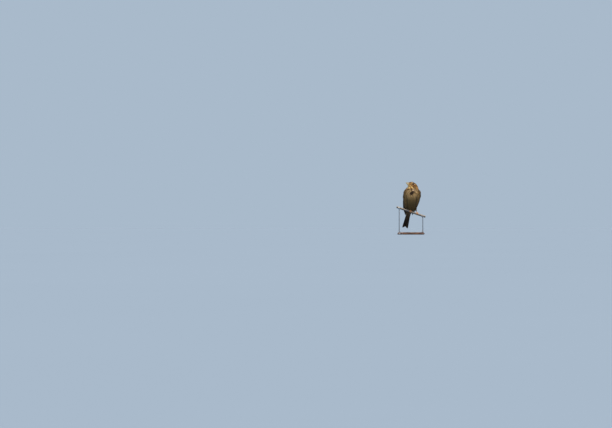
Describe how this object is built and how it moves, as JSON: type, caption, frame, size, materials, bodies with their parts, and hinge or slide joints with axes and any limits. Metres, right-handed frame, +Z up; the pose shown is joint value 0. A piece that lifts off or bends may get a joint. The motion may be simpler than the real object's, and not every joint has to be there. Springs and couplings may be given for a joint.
{
  "type": "corn bunting",
  "caption": "Life-size corn bunting perched upright on a short cut length of wire, head turned to its right, held over a round base by slim rods.",
  "frame": {"origin": "middle of the underside of the stand's round base", "axes": "+Z up; the bird's breast faces -Y; its left side is at +X, where the wire runs down"},
  "size_m": [0.102, 0.0968, 0.1845],
  "materials": {
    "plumage": "soft matt contour feathers, buff with dark streaks",
    "flight_feathers": "dark brown vanes with buff edges, slight sheen",
    "bill_horn": "satin keratin, yellowish below and grey-brown along the ridge",
    "leg_skin": "satin scaled skin, orange flesh",
    "claw_horn": "satin dark horn",
    "eye": "wet gloss, dark brown",
    "cable": "weathered dark grey sheath",
    "base_wood": "turned and oiled, satin",
    "rod_steel": "brushed along its length"
  },
  "bodies": {
    "root": {"head": "plumage", "neck": "plumage", "breast": "plumage", "belly": "plumage", "rump": "plumage", "thigh_left": "plumage", "thigh_right": "plumage", "wing_left": "flight_feathers", "wing_right": "flight_feathers", "tail": "flight_feathers", "bill_upper": "bill_horn", "bill_lower": "bill_horn", "eye_left": "eye", "eye_right": "eye", "foot_left": "leg_skin", "foot_right": "leg_skin", "claw_left_inner": "claw_horn", "claw_left_middle": "claw_horn", "claw_left_outer": "claw_horn", "claw_left_hind": "claw_horn", "claw_right_inner": "claw_horn", "claw_right_middle": "claw_horn", "claw_right_outer": "claw_horn", "claw_right_hind": "claw_horn", "perch_wire": "cable", "stand_base": "base_wood", "stand_rod_left": "rod_steel", "stand_rod_right": "rod_steel"}
  },
  "joints": []
}
